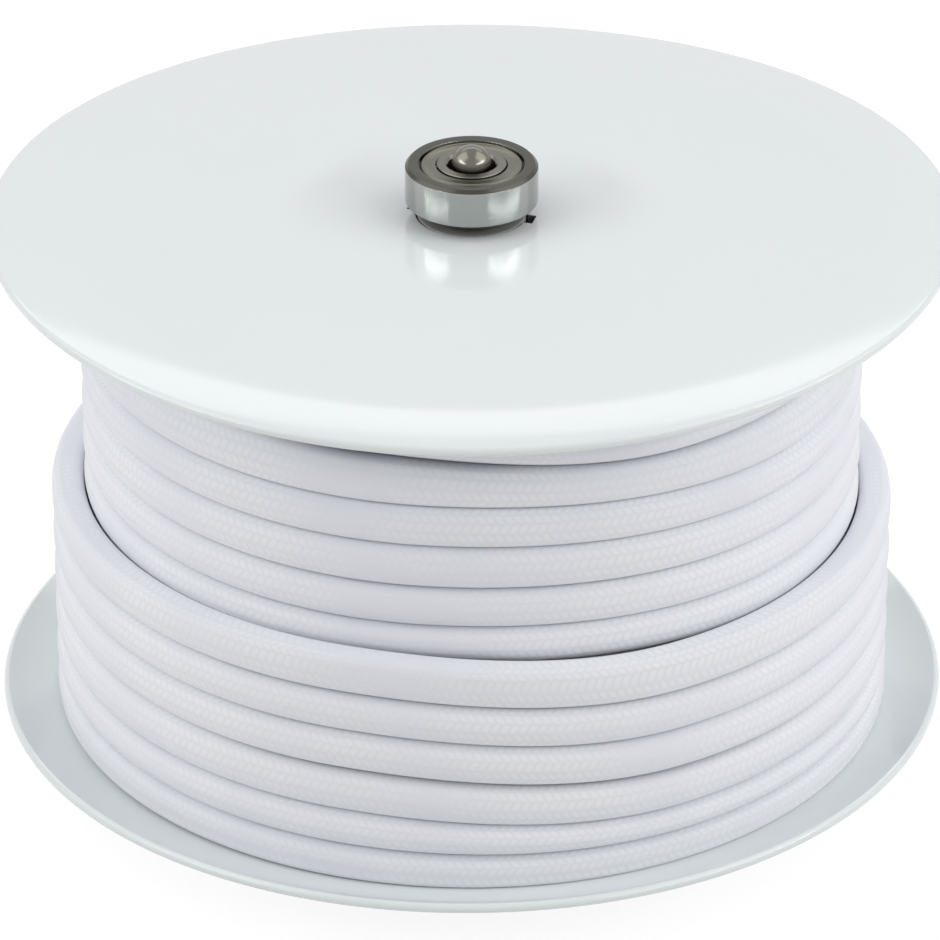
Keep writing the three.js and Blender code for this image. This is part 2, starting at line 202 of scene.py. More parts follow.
def smoothstep(value, low, high):
    share = min(1.0, max(0.0, (value - low) / (high - low)))
    return share * share * (3 - 2 * share)


def mix(a, b, share):
    return a + (b - a) * share


def window(value, rise_start, rise_end, fall_start, fall_end):
    """Rises from 0 to 1 and falls back to 0."""
    return smoothstep(value, rise_start, rise_end) * (1 - smoothstep(value, fall_start, fall_end))


def arc(centre_radius, centre_height, radius, start, end, steps):
    """Profile points on an arc, angles in radians."""
    angles = [mix(start, end, i / steps) for i in range(steps + 1)]
    return [
        (centre_radius + radius * math.cos(a), centre_height + radius * math.sin(a))
        for a in angles
    ]


def eased(profile, radius, steps=3):
    """A closed profile with its corners rounded."""
    points = []
    for i, corner in enumerate(profile):
        here = Vector(corner)
        before = Vector(profile[i - 1]) - here
        after = Vector(profile[(i + 1) % len(profile)]) - here
        opening = before.angle(after)
        if opening > BLUNT:
            points.append(corner)
            continue
        longest = LONGEST_EASE * min(before.length, after.length)
        reach = min(radius / math.tan(opening / 2), longest)
        start = here + before.normalized() * reach
        end = here + after.normalized() * reach
        for step in range(steps + 1):
            t = step / steps
            point = start * (1 - t) ** 2 + here * 2 * t * (1 - t) + end * t ** 2
            points.append((point.x, point.y))
    return points


def new_object(name, bm):
    mesh = bpy.data.meshes.new(name)
    bmesh.ops.recalc_face_normals(bm, faces=bm.faces)
    bm.to_mesh(mesh)
    bm.free()
    mesh.polygons.foreach_set("use_smooth", [True] * len(mesh.polygons))
    mesh.set_sharp_from_angle(angle=SHARP)
    obj = bpy.data.objects.new(name, mesh)
    bpy.context.scene.collection.objects.link(obj)
    return obj


def revolved(name, profile, facets, axis_ends=False):
    """A closed profile of (radius, height) pairs turned about the axis. With axis_ends the profile
    starts and ends on the axis instead."""
    bm = bmesh.new()
    ring = [bm.verts.new((r * MM, 0, z * MM)) for r, z in profile]
    edges = [bm.edges.new(pair) for pair in zip(ring, ring[1:])]
    if not axis_ends:
        edges.append(bm.edges.new((ring[-1], ring[0])))
    bmesh.ops.spin(
        bm, geom=ring + edges, cent=(0, 0, 0), axis=(0, 0, 1), angle=2 * math.pi,
        steps=facets, use_merge=True,
    )
    bmesh.ops.remove_doubles(bm, verts=bm.verts, dist=MERGE_DISTANCE)
    return new_object(name, bm)


def cut(obj, cutters):
    """Cuts the cutters out of an object and removes them."""
    for cutter in cutters:
        modifier = obj.modifiers.new("cut", "BOOLEAN")
        modifier.operation = "DIFFERENCE"
        modifier.solver = "EXACT"
        modifier.object = cutter
    evaluated = obj.evaluated_get(bpy.context.evaluated_depsgraph_get())
    mesh = bpy.data.meshes.new_from_object(evaluated)
    obj.modifiers.clear()
    obj.data = mesh
    mesh.set_sharp_from_angle(angle=SHARP)
    for cutter in cutters:
        bpy.data.objects.remove(cutter)
    return obj


def box_cutter(size, turn):
    """A box round the origin, turned about the axis."""
    bm = bmesh.new()
    bmesh.ops.create_cube(bm, size=1)
    for vert in bm.verts:
        vert.co = Vector([c * s * MM for c, s in zip(vert.co, size)])
    obj = new_object("cutter", bm)
    obj.rotation_euler.z = turn
    return obj


def round_cutter(radius, depth, centre):
    bm = bmesh.new()
    bmesh.ops.create_cone(
        bm, cap_ends=True, segments=48, radius1=radius * MM, radius2=radius * MM,
        depth=depth * MM,
    )
    bmesh.ops.translate(bm, verts=bm.verts, vec=Vector(centre) * MM)
    return new_object("cutter", bm)


def ball_mesh(name, radius, centre):
    bm = bmesh.new()
    bmesh.ops.create_uvsphere(bm, u_segments=32, v_segments=20, radius=radius * MM)
    bmesh.ops.translate(bm, verts=bm.verts, vec=Vector(centre) * MM)
    return new_object(name, bm)


def place(obj, base, upper):
    """Puts a piece made at height 0 at one end of the reel: turned over at the upper end."""
    for vert in obj.data.vertices:
        x, y, z = vert.co
        vert.co = (x, -y, base * MM - z) if upper else (x, y, base * MM + z)
    obj.data.update()
    return obj


def dress(obj, body, slot, material, *nodes):
    """Gives a piece its material and body, and lets it stand for its CAD nodes. Its slot is not
    used.
    """
    obj.data.materials.clear()
    obj.data.materials.append(material)
    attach(obj, body)
    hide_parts(*nodes)
    return obj


# --- materials -----------------------------------------------------------------------------------

class Nodes:
    """Short forms for building a material's nodes."""

    # Numbers of the mix node's sockets for colours.
    MIX_SHARE, MIX_DARK, MIX_LIGHT, MIX_RESULT = 0, 6, 7, 2
    def __init__(self, name, color, roughness, metallic=0.0, **sockets):
        self.material = bpy.data.materials.new(name)
        self.material.use_nodes = True
        self.material.diffuse_color = (*color, 1)
        self.tree = self.material.node_tree
        self.shader = self.tree.nodes["Principled BSDF"]
        self.shader.inputs["Base Color"].default_value = (*color, 1)
        self.shader.inputs["Roughness"].default_value = roughness
        self.shader.inputs["Metallic"].default_value = metallic
        for socket, value in sockets.items():
            self.shader.inputs[socket.replace("_", " ")].default_value = value

    def add(self, kind, **values):
        node = self.tree.nodes.new(kind)
        for key, value in values.items():
            setattr(node, key, value)
        return node

    def link(self, source, target):
        self.tree.links.new(source, target)

    def math(self, operation, a, b=None):
        node = self.add("ShaderNodeMath", operation=operation)
        for socket, value in zip(node.inputs, (a, b)):
            if value is None:
                continue
            if isinstance(value, (int, float)):
                socket.default_value = value
            else:
                self.link(value, socket)
        return node.outputs[0]

    def position(self):
        """The place in the part's frame, in metres."""
        return self.add("ShaderNodeTexCoord").outputs["Object"]

    def noise(self, vector, scale, detail=2.0):
        node = self.add("ShaderNodeTexNoise")
        node.inputs["Scale"].default_value = scale
        node.inputs["Detail"].default_value = detail
        self.link(vector, node.inputs["Vector"])
        return node.outputs["Fac"]

    def ramp(self, value, low, high):
        """Maps 0..1 to low..high."""
        node = self.add("ShaderNodeMapRange")
        node.inputs["To Min"].default_value = low
        node.inputs["To Max"].default_value = high
        self.link(value, node.inputs["Value"])
        return node.outputs["Result"]

    def blend(self, share, dark, light):
        """A colour between two, each a triple or another node's output."""
        node = self.add("ShaderNodeMix", data_type="RGBA")
        for number, color in ((self.MIX_DARK, dark), (self.MIX_LIGHT, light)):
            if isinstance(color, tuple):
                node.inputs[number].default_value = (*color, 1)
            else:
                self.link(color, node.inputs[number])
        self.link(share, node.inputs[self.MIX_SHARE])
        return node.outputs[self.MIX_RESULT]

    def set_color(self, source):
        self.link(source, self.shader.inputs["Base Color"])

    def set_roughness(self, source):
        self.link(source, self.shader.inputs["Roughness"])

    def bump(self, height, strength, distance):
        node = self.add("ShaderNodeBump")
        node.inputs["Strength"].default_value = strength
        node.inputs["Distance"].default_value = distance
        self.link(height, node.inputs["Height"])
        self.link(node.outputs["Normal"], self.shader.inputs["Normal"])

    def radius_and_height(self):
        """A vector of (distance from the axis, 0, height): what a lathe leaves on a turned face."""
        parts = self.add("ShaderNodeSeparateXYZ")
        self.link(self.position(), parts.inputs[0])
        x, y, z = parts.outputs
        squares = [self.math("MULTIPLY", value, value) for value in (x, y)]
        radius = self.math("SQRT", self.math("ADD", *squares))
        joined = self.add("ShaderNodeCombineXYZ")
        self.link(radius, joined.inputs[0])
        self.link(z, joined.inputs[2])
        return joined.outputs[0]


def flange_material():
    """Glossy white moulding with a trace of flow and sink in its surface."""
    nodes = Nodes("gloss_white", (0.765, 0.805, 0.812), 0.09, IOR=1.5)
    where = nodes.position()
    flow = nodes.noise(where, scale=22, detail=3)
    nodes.set_color(nodes.blend(flow, (0.752, 0.794, 0.803), (0.778, 0.816, 0.822)))
    nodes.set_roughness(nodes.ramp(nodes.noise(where, scale=90, detail=4), 0.08, 0.14))
    nodes.bump(nodes.noise(where, scale=40, detail=2), strength=0.06, distance=0.0004)
    return nodes.material


def turned_steel(name, dark, light, rough_low, rough_high, bump=0.12):
    """Steel with the fine circular lines of turning or grinding."""
    nodes = Nodes(name, light, rough_low, 1.0)
    lines = nodes.noise(nodes.radius_and_height(), scale=9000, detail=2)
    stain = nodes.noise(nodes.position(), scale=260, detail=3)
    tone = nodes.math("MULTIPLY", nodes.math("ADD", lines, stain), 0.5)
    nodes.set_color(nodes.blend(tone, dark, light))
    nodes.set_roughness(nodes.ramp(lines, rough_low, rough_high))
    nodes.bump(lines, strength=bump, distance=0.00002)
    return nodes.material


def matt_plastic(name, dark, light, roughness, grain):
    """Moulding with a fine grain that varies its tone and its roughness."""
    nodes = Nodes(name, light, roughness)
    speckle = nodes.noise(nodes.position(), scale=grain, detail=4)
    nodes.set_color(nodes.blend(speckle, dark, light))
    nodes.set_roughness(nodes.ramp(speckle, roughness - 0.08, roughness + 0.08))
    nodes.bump(speckle, strength=0.2, distance=0.0001)
    return nodes.material


def board_material():
    """Wound board with its paper grain."""
    nodes = Nodes("wound_board", (0.48, 0.44, 0.37), 0.85)
    fibre = nodes.noise(nodes.position(), scale=900, detail=5)
    nodes.set_color(nodes.blend(fibre, (0.40, 0.36, 0.29), (0.54, 0.50, 0.42)))
    nodes.bump(fibre, strength=0.4, distance=0.0002)
    return nodes.material

def cord_material():
    """White braid: short slanted stitches in columns, soft sheen, painted shade in its creases."""
    nodes = Nodes(
        "white_braid", (0.86, 0.875, 0.915), 0.72,
        Sheen_Weight=0.12, Sheen_Roughness=0.5, Specular_IOR_Level=0.3,
    )
    uv = nodes.add("ShaderNodeUVMap", uv_map="braid")
    parts = nodes.add("ShaderNodeSeparateXYZ")
    nodes.link(uv.outputs[0], parts.inputs[0])
    along, around, _ = parts.outputs
    column = nodes.math("DIVIDE", around, COLUMN)
    number = nodes.math("FLOOR", column)
    inside = nodes.math("SUBTRACT", column, number)
    odd = nodes.math("MODULO", number, 2.0)
    slant = nodes.math("SUBTRACT", nodes.math("MULTIPLY", odd, 2.0), 1.0)
    shift = nodes.math("MULTIPLY", nodes.math("MULTIPLY", slant, inside), STITCH_SLANT)
    step = nodes.math("ADD", nodes.math("DIVIDE", along, STITCH), shift)
    wave = nodes.math("ABSOLUTE", nodes.math("SINE", nodes.math("MULTIPLY", step, math.pi)))
    rib = nodes.math("SINE", nodes.math("MULTIPLY", inside, math.pi))
    across = nodes.math("POWER", nodes.math("ABSOLUTE", rib), COLUMN_FULLNESS)
    stitch = nodes.math("MULTIPLY", nodes.math("POWER", wave, STITCH_FULLNESS), across)
    drawn = nodes.add("ShaderNodeCombineXYZ")
    nodes.link(nodes.math("MULTIPLY", along, STRAND_STRETCH), drawn.inputs[0])
    nodes.link(around, drawn.inputs[1])
    strands = nodes.noise(drawn.outputs[0], scale=1.1, detail=4)
    worn = nodes.ramp(nodes.noise(nodes.position(), scale=38, detail=1), -0.9, 2.2)
    relief = nodes.math("MINIMUM", nodes.math("MAXIMUM", worn, LEAST_RELIEF), 1.0)
    raised = nodes.math("MULTIPLY", stitch, relief)
    height = nodes.math("ADD", raised, nodes.math("MULTIPLY", strands, STRAND_HEIGHT))

    # Lighter where the stitches stand high, darker where their relief is low: painted shade.
    tone = nodes.blend(raised, (0.80, 0.815, 0.86), (0.87, 0.885, 0.915))
    # Painted shade in the grooves: the colour goes towards this dark one by the attribute.
    painted_crease_shade = nodes.add("ShaderNodeAttribute", attribute_name="painted_crease_shade")
    nodes.set_color(nodes.blend(painted_crease_shade.outputs["Fac"], tone, (0.17, 0.175, 0.22)))
    nodes.bump(height, strength=0.38, distance=0.00014)
    return nodes.material


# --- reel body -----------------------------------------------------------------------------------

def warp(obj, lift, lean, wave):
    """Bends a disc a little out of true, as the one in the photograph is: heights at the rim."""
    for vert in obj.data.vertices:
        x, y, _ = vert.co / MM
        share = (math.hypot(x, y) / FLANGE_RADIUS) ** 3
        angle = math.atan2(y, x)
        vert.co.z += share * (lift + lean * math.cos(angle) + wave * math.cos(2 * angle)) * MM
    obj.data.update()


def flange(name, base, upper, rim_turn, node, material, bore_shade_material):
    """A disc with its rim turned towards the cord, a round edge, a bore and two drive notches."""
    edge = FLANGE_THICKNESS / 2
    edge_centre = FLANGE_RADIUS - edge
    bend_start = FLANGE_RADIUS - RIM_TURN_WIDTH
    bend_steps = 12
    bend = [mix(bend_start, edge_centre, i / bend_steps) for i in range(bend_steps)]

    def rim_lift(radius):
        return rim_turn * ((radius - bend_start) / RIM_TURN_WIDTH) ** 2

    flat = range(16, 57, 8)  # radii of rings that let the flat face bend too
    outer_face = [(r, 0) for r in flat] + [(r, rim_lift(r)) for r in bend]
    inner_face = [(r, z + FLANGE_THICKNESS) for r, z in reversed(outer_face)]
    rim = arc(edge_centre, rim_lift(edge_centre) + edge, edge, -math.pi / 2, math.pi / 2, steps=8)
    ease = 0.1
    obj = revolved(name, [
        (FLANGE_BORE, ease),
        (FLANGE_BORE + ease, 0),
        *outer_face,
        *rim,
        *inner_face,
        (FLANGE_BORE + ease, FLANGE_THICKNESS),
        (FLANGE_BORE, FLANGE_THICKNESS - ease),
    ], SMOOTH)
    notch_reach = FLANGE_BORE + NOTCH_DEPTH
    cutter_height = 6  # well past both faces
    turn = -NOTCH_ANGLE if upper else NOTCH_ANGLE
    cut(obj, [box_cutter((2 * notch_reach, NOTCH_WIDTH, cutter_height), turn)])
    place(obj, base, upper)
    dress(obj, "reel", "flange", material, node)
    # A second, dark material on the walls of the bore and the notches: painted shade.
    obj.data.materials.append(bore_shade_material)
    for polygon in obj.data.polygons:
        reach = math.hypot(polygon.center.x, polygon.center.y) / MM
        if reach < notch_reach + ease and abs(polygon.normal.z) < WALL_NORMAL:
            polygon.material_index = 1
    return obj


def hub(name, base, upper, node, material):
    """A sleeve on the axle and a collar in the core, joined by a web with round windows."""
    collar = CORE_RADIUS - CORE_WALL - FIT
    collar_inside = collar - HUB_WALL
    web_top = WEB_INSET + WEB_THICKNESS
    obj = revolved(name, eased([
        (BORE_RADIUS, -FLANGE_THICKNESS),
        (SLEEVE_RADIUS, -FLANGE_THICKNESS),
        (SLEEVE_RADIUS, WEB_INSET),
        (collar_inside, WEB_INSET),
        (collar_inside, FIT),
        (collar, FIT),
        (collar, COLLAR_LENGTH),
        (collar_inside, COLLAR_LENGTH),
        (collar_inside, web_top),
        (SLEEVE_RADIUS, web_top),
        (SLEEVE_RADIUS, SLEEVE_LENGTH),
        (BORE_RADIUS, SLEEVE_LENGTH),
    ], MOULDED_EASE), FINE)
    circle = (SLEEVE_RADIUS + collar_inside) / 2
    radius = (collar_inside - SLEEVE_RADIUS) / 4
    cutters = []
    for i in range(WINDOW_COUNT):
        angle = 2 * math.pi * i / WINDOW_COUNT
        centre = (circle * math.cos(angle), circle * math.sin(angle), web_top - WEB_THICKNESS / 2)
        cutters.append(round_cutter(radius, 3 * WEB_THICKNESS, centre))
    cut(obj, cutters)
    place(obj, base, upper)
    return dress(obj, "reel", "hub", material, node)


def core_tube(material):
    low, high = span("core_tube")
    obj = revolved("core_tube_wall", eased([
        (CORE_RADIUS - CORE_WALL, low), (CORE_RADIUS, low),
        (CORE_RADIUS, high), (CORE_RADIUS - CORE_WALL, high),
    ], MOULDED_EASE), SMOOTH)
    return dress(obj, "reel", "core", material, "core_tube")


def axle(material):
    """A shaft with a domed pin at each end."""
    low, high = span("axle")
    journal = BORE_RADIUS - FIT
    step = DOME_HEIGHT + PIN_LENGTH
    dome = (TIP_RADIUS ** 2 + DOME_HEIGHT ** 2) / (2 * DOME_HEIGHT)
    sweep = math.asin(TIP_RADIUS / dome)
    lower = arc(0, low + dome, dome, -math.pi / 2, -math.pi / 2 + sweep, steps=12)
    upper = arc(0, high - dome, dome, math.pi / 2 - sweep, math.pi / 2, steps=12)
    lower[0] = (0, low)
    upper[-1] = (0, high)
    profile = [
        *lower,
        (TIP_RADIUS, low + step),
        (journal - RING_CHAMFER, low + step),
        (journal, low + step + RING_CHAMFER),
        (journal, high - step - RING_CHAMFER),
        (journal - RING_CHAMFER, high - step),
        (TIP_RADIUS, high - step),
        *upper,
    ]
    obj = revolved("axle_shaft", profile, FINE, axis_ends=True)
    return dress(obj, "reel", "axle", material, "axle")


def spacer(name, node, material):
    low, high = span(node)
    outside = INNER_LAND_RADIUS - FIT
    obj = revolved(name, eased([
        (BORE_RADIUS, low), (outside, low), (outside, high), (BORE_RADIUS, high),
    ], GROUND_EASE), FINE)
    return dress(obj, "reel", "axle", material, node)


# --- ball bearings -------------------------------------------------------------------------------

MID = BEARING_WIDTH / 2
RACE_RADIUS = BALL_RADIUS + RACE_CLEARANCE
SEAT_DEPTH = SHIELD_INSET + SHIELD_THICKNESS + SHIELD_SEAT_MARGIN


def outer_ring(end, base, material, face_material):
    """The outer race, with a seat for a shield at either end, and flat faces of another, far darker
    steel colour: a painted dark reflection.
    """
    half = math.acos((OUTER_LAND_RADIUS - PITCH_RADIUS) / RACE_RADIUS)
    outside = eased([
        (SHIELD_SEAT_RADIUS, SEAT_DEPTH),
        (SHIELD_SEAT_RADIUS, 0),
        (RING_RADIUS - OUTER_CHAMFER, 0),
        (RING_RADIUS, OUTER_CHAMFER),
        (RING_RADIUS, BEARING_WIDTH - OUTER_CHAMFER),
        (RING_RADIUS - OUTER_CHAMFER, BEARING_WIDTH),
        (SHIELD_SEAT_RADIUS, BEARING_WIDTH),
        (SHIELD_SEAT_RADIUS, BEARING_WIDTH - SEAT_DEPTH),
    ], GROUND_EASE)
    profile = [
        *outside,
        (OUTER_LAND_RADIUS, BEARING_WIDTH - SEAT_DEPTH),
        *arc(PITCH_RADIUS, MID, RACE_RADIUS, half, -half, steps=16),
        (OUTER_LAND_RADIUS, SEAT_DEPTH),
    ]
    obj = revolved(f"{end}_bearing_outer_ring", profile, FINE)
    place(obj, base, False)
    dress(obj, f"{end}_race", "ring", material, f"{end}_outer_ring")
    obj.data.materials.append(face_material)
    # Faces that look up or down take the far darker steel: painted dark reflection.
    for polygon in obj.data.polygons:
        if abs(polygon.normal.z) > FACE_NORMAL:
            polygon.material_index = 1
    return obj


def inner_ring(end, base, material):
    half = math.acos((PITCH_RADIUS - INNER_LAND_RADIUS) / RACE_RADIUS)
    profile = [
        (BORE_RADIUS + RING_CHAMFER, 0),
        (INNER_LAND_RADIUS - LAND_CHAMFER, 0),
        (INNER_LAND_RADIUS, LAND_CHAMFER),
        *arc(PITCH_RADIUS, MID, RACE_RADIUS, math.pi + half, math.pi - half, steps=12),
        (INNER_LAND_RADIUS, BEARING_WIDTH - LAND_CHAMFER),
        (INNER_LAND_RADIUS - LAND_CHAMFER, BEARING_WIDTH),
        (BORE_RADIUS + RING_CHAMFER, BEARING_WIDTH),
        (BORE_RADIUS, BEARING_WIDTH - RING_CHAMFER),
        (BORE_RADIUS, RING_CHAMFER),
    ]
    obj = revolved(f"{end}_bearing_inner_ring", profile, FINE)
    place(obj, base, False)
    return dress(obj, "reel", "ring", material, f"{end}_inner_ring")


def shield(end, side, base, material):
    """A pressed shield with a rolled lip, drawn facing up with its ring's face at height 0."""
    inside = INNER_LAND_RADIUS + SHIELD_GAP
    outside = SHIELD_SEAT_RADIUS - FIT
    lip = outside - LIP_INSET
    lip_foot = outside - LIP_FOOT
    low = -SHIELD_INSET - SHIELD_THICKNESS
    obj = revolved(f"{end}_shield_plate_{side}", [
        (inside, low),
        (lip_foot, low),
        (lip - 0.2, low + 0.12),
        (lip, low + 0.18),
        (outside - SHIELD_THICKNESS, low - 0.15),
        (outside, low - 0.15),
        (outside - 0.08, low + 0.15),
        (lip + 0.25, low + 0.42),
        (lip, low + 0.5),
        (lip - 0.25, low + 0.44),
        (lip_foot, low + SHIELD_THICKNESS),
        (inside + 0.05, low + SHIELD_THICKNESS),
        (inside, low + SHIELD_THICKNESS - 0.05),
    ], FINE)
    place(obj, base + BEARING_WIDTH if side == "above" else base, False)
    if side == "below":
        for vert in obj.data.vertices:
            vert.co.z = 2 * base * MM - vert.co.z
        obj.data.flip_normals()
    return dress(obj, f"{end}_race", "shield", material, f"{end}_shield_{side}")


def ball_places():
    """The balls' centres, from the ring's lower face."""
    return [
        (PITCH_RADIUS * math.cos(2 * math.pi * i / BALL_COUNT),
         PITCH_RADIUS * math.sin(2 * math.pi * i / BALL_COUNT), MID)
        for i in range(BALL_COUNT)
    ]


def cage(end, base, material):
    """A crown cage, its arms between the balls."""
    inside = (PITCH_RADIUS + INNER_LAND_RADIUS) / 2
    outside = (PITCH_RADIUS + OUTER_LAND_RADIUS) / 2
    foot = MID - RACE_RADIUS - CAGE_FLOOR
    top = MID + CAGE_RISE * BALL_RADIUS
    obj = revolved(f"{end}_bearing_cage", eased([
        (inside, foot), (outside, foot), (outside, top), (inside, top),
    ], CAGE_EASE), FINE)
    cut(obj, [ball_mesh("cutter", RACE_RADIUS, centre) for centre in ball_places()])
    place(obj, base, False)
    return dress(obj, f"{end}_ball_set", "cage", material, f"{end}_cage")


def balls(end, base, material):
    for i, centre in enumerate(ball_places(), 1):
        obj = ball_mesh(f"{end}_bearing_ball_{i}", BALL_RADIUS, centre)
        place(obj, base, False)
        dress(obj, f"{end}_ball_set", "ball", material, f"{end}_ball_{i}")


# --- cord ----------------------------------------------------------------------------------------

def upper_edge(turn):
    """Upper edge of a turn on the left, and how far it comes down across the front."""
    if turn == 0:
        return TOP_EDGE, TOP_DRIFT
    if turn == INNER_TURNS:
        return STEP_TOP_EDGE, STEP_DRIFT
    return LOWER_EDGE[turn - 1], FRONT_DRIFT[turn - 1]


def cord_place(angle):
    """Radius, lower edge and upper edge of the cord, at an angle counted in turns."""
    turn = min(int(angle), TURN_COUNT - 1)
    share = angle - turn
    following = min(turn + 1, TURN_COUNT - 1)
    front = INNER_FRONT if turn < INNER_TURNS else OUTER_FRONT
    down_low = smoothstep(share, *(FIRST_FRONT if turn == 0 else front))
    down_high = smoothstep(share, *(FIRST_FRONT if turn < 2 else front))
    across = smoothstep(share, *BACK) if turn < TURN_COUNT - 1 else 0.0
    upper, upper_drift = upper_edge(turn)
    low = mix(LOWER_EDGE[turn] - FRONT_DRIFT[turn] * down_low, LOWER_EDGE[following], across)
    high = mix(upper - upper_drift * down_high, upper_edge(following)[0], across)
    radii = [
        INNER_LAYER_RADIUS if t < INNER_TURNS else OUTER_LAYER_RADIUS for t in (turn, following)
    ]
    return mix(*radii, across), low + TURN_CLEARANCE, high - TURN_CLEARANCE


def touches_above(angle):
    """1 where the turn above lies on this one, 0 where a turn's upper side is bare."""
    turn = min(int(angle), TURN_COUNT - 1)
    following = min(turn + 1, TURN_COUNT - 1)
    here, there = (0.0 if t in (0, INNER_TURNS) else 1.0 for t in (turn, following))
    return mix(here, there, smoothstep(angle - turn, *BACK))


def painted_groove_shade(angle, up):
    """How dark the painted shade in the groove over or under the cord is; the step's is the
    darkest.
    """
    groove = max(0, int(angle) - (1 if up > 0 else 0))
    share = angle - int(angle)
    front = window(share, *FRONT_WINDOW)
    if groove == 0:
        middle = window(share, *FIRST_WINDOW)
        return mix(PAINTED_GROOVE_SHADES[0], mix(FIRST_FRONT_SHADE, FIRST_MIDDLE_SHADE, middle), front)
    if groove == INNER_TURNS - 1:
        return PAINTED_GROOVE_SHADES[groove] * window(share, *STEP_WINDOW)
    return PAINTED_GROOVE_SHADES[groove] * front


def section(lower_squareness=SQUARENESS, upper_squareness=SQUARENESS):
    """(out, up, angle) round a squared oval, out and up from -1 to 1."""
    points = []
    for i in range(SECTION_POINTS):
        a = 2 * math.pi * i / SECTION_POINTS
        power = 2 / (lower_squareness if math.sin(a) < 0 else upper_squareness)
        out = math.copysign(abs(math.cos(a)) ** power, math.cos(a))
        up = math.copysign(abs(math.sin(a)) ** power, math.sin(a))
        points.append((out, up, a))
    return points


def cord_end(angle, sign):
    """A straight end of the cord, closed by a small dome where the cut cord is sealed."""
    stretch = [
        (angle, sign * CORD_END_LENGTH * (i + 1) / CORD_END_STEPS, 1.0)
        for i in range(CORD_END_STEPS)
    ]
    cap = [
        (angle, sign * (CORD_END_LENGTH + SEAL_LENGTH * math.sin(t)), math.cos(t))
        for t in SEAL_ANGLES
    ]
    return stretch + cap


def cord_rings():
    """(angle in turns, distance straight on from there, size of the section) of each ring."""
    last = round((TURN_COUNT - 1 + BACK[0]) * RINGS_PER_TURN)
    coil = [(i / RINGS_PER_TURN, 0.0, 1.0) for i in range(last + 1)]
    return cord_end(0.0, -1)[::-1] + coil + cord_end(last / RINGS_PER_TURN, 1)


def round_axis(radius, azimuth, height):
    return Vector((radius * math.cos(azimuth), radius * math.sin(azimuth), height))


def tube(name, verts, lengths, painted_crease_shade):
    """A closed tube of rings, mapped by the length along it and round it."""
    count = SECTION_POINTS
    last = len(lengths) - 1
    faces, uvs = [], []
    for ring in range(last):
        here, there = ring * count, (ring + 1) * count
        u0, u1 = lengths[ring], lengths[ring + 1]
        for i in range(count):
            j = (i + 1) % count
            faces.append((here + i, here + j, there + j, there + i))
            v0, v1 = SECTION_LENGTH * i / count, SECTION_LENGTH * (i + 1) / count
            uvs += [(u0, v0), (u0, v1), (u1, v1), (u1, v0)]
    for ring, order in ((0, -1), (last, 1)):
        loop = [ring * count + i for i in range(count)][::order]
        faces.append(tuple(loop))
        uvs += [(lengths[ring], 0.0)] * count
    mesh = bpy.data.meshes.new(name)
    mesh.from_pydata([tuple(v) for v in verts], [], faces)
    layer = mesh.uv_layers.new(name="braid")
    layer.data.foreach_set("uv", [c for pair in uvs for c in pair])
    # Each point's painted shade, which the cord's material darkens its colour by.
    attribute = mesh.attributes.new("painted_crease_shade", "FLOAT", "POINT")
    attribute.data.foreach_set("value", painted_crease_shade)
    mesh.polygons.foreach_set("use_smooth", [True] * len(mesh.polygons))
    mesh.update()
    obj = bpy.data.objects.new(name, mesh)
    bpy.context.scene.collection.objects.link(obj)
    return obj


def winding(material):
    """The last pass of cord, one tube from the top of the reel to the bottom."""
    shape = section()
    foot = section(lower_squareness=FOOT_SQUARENESS)
    step = section(upper_squareness=STEP_SQUARENESS)
    verts, lengths, painted_crease_shade = [], [], []
    along = 0.0
    previous = None
    for angle, shift, size in cord_rings():
        radius, low, high = cord_place(angle)
        covered = touches_above(angle)
        azimuth = TURN_START + 2 * math.pi * angle
        centre, half = (low + high) / 2, (high - low) / 2 * size
        ahead = Vector((-math.sin(azimuth), math.cos(azimuth), 0))
        middle = round_axis(radius, azimuth, centre) + ahead * shift
        if previous is not None:
            along += (middle - previous).length
        previous = middle
        lengths.append(along)
        flat = smoothstep(angle, *FOOT_STRETCH)
        pressed = window(angle, *STEP_STRETCH)
        dark_low, dark_high = painted_groove_shade(angle, -1), painted_groove_shade(angle, 1)
        for (out, up, a), (foot_out, foot_up, _), (step_out, step_up, _) in zip(shape, foot, step):
            out, up = mix(out, foot_out, flat), mix(up, foot_up, flat)
            out, up = mix(out, step_out, pressed), mix(up, step_up, pressed)
            reach = radius + out * CORD_HALF_THICKNESS * size
            point = round_axis(reach, azimuth, centre + up * half)
            verts.append((point + ahead * shift) * MM)
            # Painted shade where this turn meets the one above or below, and on top of the pressed
            # turn.
            contact = dark_low if up < 0 else covered * dark_high
            shade = contact * smoothstep(abs(math.sin(a)), mix(*GROOVE_START, contact), 1.0)
            if up > 0:
                shade = max(shade, pressed * dark_high * smoothstep(-out, *INSIDE_SHADE))
            painted_crease_shade.append(shade)
    obj = tube("cord_turns", verts, lengths, painted_crease_shade)
    return dress(obj, "reel", "cord", material, "cord_winding")


def ribs(radius, start, end):
    """The profile of a deeper layer's turns, from one height to another."""
    count = max(1, round((end - start) / RIB_PITCH))
    pitch = (end - start) / count
    points = []
    for i in range(count):
        for t in range(RIB_STEPS + 1):
            a = mix(-1.0, 1.0, t / RIB_STEPS)
            height = start + (i + 0.5 + 0.5 * a) * pitch
            points.append((radius - RIB_DEPTH * abs(a) ** RIB_POWER, height))
    return points


